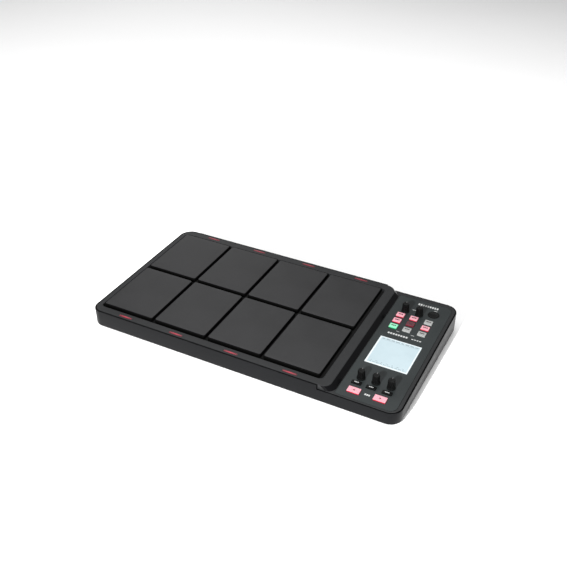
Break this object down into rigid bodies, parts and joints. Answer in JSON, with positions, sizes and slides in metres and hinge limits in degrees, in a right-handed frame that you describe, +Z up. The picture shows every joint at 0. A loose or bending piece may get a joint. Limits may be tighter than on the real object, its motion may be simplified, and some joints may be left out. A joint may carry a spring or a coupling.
{
  "type": "electronic drum pad",
  "caption": "Flat wedge-shaped percussion pad with rubber playing pads in two rows, lit bars on the rim and a side panel with display, knobs and lit buttons.",
  "frame": {"origin": "centre of the bounding box's bottom face, on the surface the rubber feet stand on", "axes": "+X to the player's right towards the control panel, +Y away from the player to the socket wall, +Z up"},
  "size_m": [0.53, 0.2874, 0.054],
  "materials": {
    "case_plastic": "fine-textured black ABS, slightly worn edges",
    "cover_plastic": "fine-textured charcoal ABS",
    "panel_plastic": "satin charcoal sheet",
    "pad_rubber": "satin dark grey natural rubber",
    "foam_rubber": "black closed-cell foam",
    "plate_steel": "zinc-plated pressed steel",
    "sensor_film": "amber sensor film",
    "light_red": "lit red translucent plastic",
    "display_glass": "lit pale blue liquid-crystal window",
    "module_metal": "nickel-plated sheet",
    "knob_black": "ribbed soft-touch black",
    "cap_pink": "lit translucent pink-red key cap",
    "cap_red": "dim red translucent key cap",
    "cap_green": "lit translucent green key cap",
    "cap_grey": "unlit milky grey key cap",
    "cap_black": "satin black key cap",
    "key_silicone": "grey silicone keypad",
    "board_green": "green circuit board with solder mask",
    "socket_black": "black moulded nylon",
    "foot_rubber": "black rubber",
    "screw_steel": "black-oxide steel"
  },
  "bodies": {
    "body": {"lower_case": "case_plastic", "top_cover": "cover_plastic", "control_panel": "panel_plastic", "pad_plate": "plate_steel", "pad_foam": "foam_rubber", "sensor_sheet": "sensor_film", "light_guide_front": "light_red", "light_guide_back": "light_red", "key_mat": "key_silicone", "volume_pot": "module_metal", "phones_pot": "module_metal", "encoder_1": "module_metal", "encoder_2": "module_metal", "encoder_3": "module_metal", "display_window": "display_glass", "display_module": "module_metal", "panel_board": "board_green", "main_board": "board_green", "jack_board": "board_green", "phone_jacks": "socket_black", "midi_sockets": "socket_black", "usb_port": "module_metal", "dc_inlet": "socket_black", "rubber_foot_1": "foot_rubber", "case_screw_1": "screw_steel", "rubber_foot_2": "foot_rubber", "case_screw_2": "screw_steel", "rubber_foot_3": "foot_rubber", "case_screw_3": "screw_steel", "rubber_foot_4": "foot_rubber", "case_screw_4": "screw_steel"},
    "pad_1": {"pad_1": "pad_rubber"},
    "pad_2": {"pad_2": "pad_rubber"},
    "pad_3": {"pad_3": "pad_rubber"},
    "pad_4": {"pad_4": "pad_rubber"},
    "pad_5": {"pad_5": "pad_rubber"},
    "pad_6": {"pad_6": "pad_rubber"},
    "pad_7": {"pad_7": "pad_rubber"},
    "pad_8": {"pad_8": "pad_rubber"},
    "grid_button_1": {"grid_button_1": "cap_pink"},
    "grid_button_2": {"grid_button_2": "cap_pink"},
    "grid_button_3": {"grid_button_3": "cap_grey"},
    "grid_button_4": {"grid_button_4": "cap_pink"},
    "grid_button_5": {"grid_button_5": "cap_red"},
    "grid_button_6": {"grid_button_6": "cap_pink"},
    "grid_button_7": {"grid_button_7": "cap_green"},
    "grid_button_8": {"grid_button_8": "cap_grey"},
    "grid_button_9": {"grid_button_9": "cap_grey"},
    "menu_button_1": {"menu_button_1": "cap_black"},
    "menu_button_2": {"menu_button_2": "cap_black"},
    "menu_button_3": {"menu_button_3": "cap_black"},
    "step_button_left": {"step_button_left": "cap_pink"},
    "step_button_right": {"step_button_right": "cap_pink"},
    "power_button": {"power_button": "cap_black"},
    "volume_knob": {"volume_knob": "knob_black"},
    "phones_knob": {"phones_knob": "knob_black"},
    "control_knob_1": {"control_knob_1": "knob_black"},
    "control_knob_2": {"control_knob_2": "knob_black"},
    "control_knob_3": {"control_knob_3": "knob_black"}
  },
  "joints": [
    {"name": "pad_1_strike", "type": "slide", "parent": "body", "child": "pad_1", "axis": [0, 0.0523, -0.9986], "range_m": [0, 0.0008], "stiffness_N_per_m": 6000, "springref_m": -0.0003},
    {"name": "pad_2_strike", "type": "slide", "parent": "body", "child": "pad_2", "axis": [0, 0.0523, -0.9986], "range_m": [0, 0.0008], "stiffness_N_per_m": 6000, "springref_m": -0.0003},
    {"name": "pad_3_strike", "type": "slide", "parent": "body", "child": "pad_3", "axis": [0, 0.0523, -0.9986], "range_m": [0, 0.0008], "stiffness_N_per_m": 6000, "springref_m": -0.0003},
    {"name": "pad_4_strike", "type": "slide", "parent": "body", "child": "pad_4", "axis": [0, 0.0523, -0.9986], "range_m": [0, 0.0008], "stiffness_N_per_m": 6000, "springref_m": -0.0003},
    {"name": "pad_5_strike", "type": "slide", "parent": "body", "child": "pad_5", "axis": [0, 0.0523, -0.9986], "range_m": [0, 0.0008], "stiffness_N_per_m": 6000, "springref_m": -0.0003},
    {"name": "pad_6_strike", "type": "slide", "parent": "body", "child": "pad_6", "axis": [0, 0.0523, -0.9986], "range_m": [0, 0.0008], "stiffness_N_per_m": 6000, "springref_m": -0.0003},
    {"name": "pad_7_strike", "type": "slide", "parent": "body", "child": "pad_7", "axis": [0, 0.0523, -0.9986], "range_m": [0, 0.0008], "stiffness_N_per_m": 6000, "springref_m": -0.0003},
    {"name": "pad_8_strike", "type": "slide", "parent": "body", "child": "pad_8", "axis": [0, 0.0523, -0.9986], "range_m": [0, 0.0008], "stiffness_N_per_m": 6000, "springref_m": -0.0003},
    {"name": "grid_button_1_press", "type": "slide", "parent": "body", "child": "grid_button_1", "axis": [0, 0.0523, -0.9986], "range_m": [0, 0.0008], "stiffness_N_per_m": 300, "springref_m": -0.0005},
    {"name": "grid_button_2_press", "type": "slide", "parent": "body", "child": "grid_button_2", "axis": [0, 0.0523, -0.9986], "range_m": [0, 0.0008], "stiffness_N_per_m": 300, "springref_m": -0.0005},
    {"name": "grid_button_3_press", "type": "slide", "parent": "body", "child": "grid_button_3", "axis": [0, 0.0523, -0.9986], "range_m": [0, 0.0008], "stiffness_N_per_m": 300, "springref_m": -0.0005},
    {"name": "grid_button_4_press", "type": "slide", "parent": "body", "child": "grid_button_4", "axis": [0, 0.0523, -0.9986], "range_m": [0, 0.0008], "stiffness_N_per_m": 300, "springref_m": -0.0005},
    {"name": "grid_button_5_press", "type": "slide", "parent": "body", "child": "grid_button_5", "axis": [0, 0.0523, -0.9986], "range_m": [0, 0.0008], "stiffness_N_per_m": 300, "springref_m": -0.0005},
    {"name": "grid_button_6_press", "type": "slide", "parent": "body", "child": "grid_button_6", "axis": [0, 0.0523, -0.9986], "range_m": [0, 0.0008], "stiffness_N_per_m": 300, "springref_m": -0.0005},
    {"name": "grid_button_7_press", "type": "slide", "parent": "body", "child": "grid_button_7", "axis": [0, 0.0523, -0.9986], "range_m": [0, 0.0008], "stiffness_N_per_m": 300, "springref_m": -0.0005},
    {"name": "grid_button_8_press", "type": "slide", "parent": "body", "child": "grid_button_8", "axis": [0, 0.0523, -0.9986], "range_m": [0, 0.0008], "stiffness_N_per_m": 300, "springref_m": -0.0005},
    {"name": "grid_button_9_press", "type": "slide", "parent": "body", "child": "grid_button_9", "axis": [0, 0.0523, -0.9986], "range_m": [0, 0.0008], "stiffness_N_per_m": 300, "springref_m": -0.0005},
    {"name": "menu_button_1_press", "type": "slide", "parent": "body", "child": "menu_button_1", "axis": [0, 0.0523, -0.9986], "range_m": [0, 0.0008], "stiffness_N_per_m": 300, "springref_m": -0.0005},
    {"name": "menu_button_2_press", "type": "slide", "parent": "body", "child": "menu_button_2", "axis": [0, 0.0523, -0.9986], "range_m": [0, 0.0008], "stiffness_N_per_m": 300, "springref_m": -0.0005},
    {"name": "menu_button_3_press", "type": "slide", "parent": "body", "child": "menu_button_3", "axis": [0, 0.0523, -0.9986], "range_m": [0, 0.0008], "stiffness_N_per_m": 300, "springref_m": -0.0005},
    {"name": "step_button_left_press", "type": "slide", "parent": "body", "child": "step_button_left", "axis": [0, 0.0523, -0.9986], "range_m": [0, 0.0008], "stiffness_N_per_m": 300, "springref_m": -0.0005},
    {"name": "step_button_right_press", "type": "slide", "parent": "body", "child": "step_button_right", "axis": [0, 0.0523, -0.9986], "range_m": [0, 0.0008], "stiffness_N_per_m": 300, "springref_m": -0.0005},
    {"name": "power_button_press", "type": "slide", "parent": "body", "child": "power_button", "axis": [0, 0.0523, -0.9986], "range_m": [0, 0.0008], "stiffness_N_per_m": 300, "springref_m": -0.0005},
    {"name": "volume_knob_turn", "type": "hinge", "parent": "body", "child": "volume_knob", "pos_m": [0.189, 0.0918, 0.03839], "axis": [0, -0.0523, 0.9986], "range_deg": [-150, 150]},
    {"name": "phones_knob_turn", "type": "hinge", "parent": "body", "child": "phones_knob", "pos_m": [0.2125, 0.0913, 0.03837], "axis": [0, -0.0523, 0.9986], "range_deg": [-150, 150]},
    {"name": "control_knob_1_turn", "type": "hinge", "parent": "body", "child": "control_knob_1", "pos_m": [0.188, -0.09245, 0.02874], "axis": [0, -0.0523, 0.9986], "continuous": true},
    {"name": "control_knob_2_turn", "type": "hinge", "parent": "body", "child": "control_knob_2", "pos_m": [0.211, -0.09245, 0.02874], "axis": [0, -0.0523, 0.9986], "continuous": true},
    {"name": "control_knob_3_turn", "type": "hinge", "parent": "body", "child": "control_knob_3", "pos_m": [0.2345, -0.09245, 0.02874], "axis": [0, -0.0523, 0.9986], "continuous": true}
  ]
}
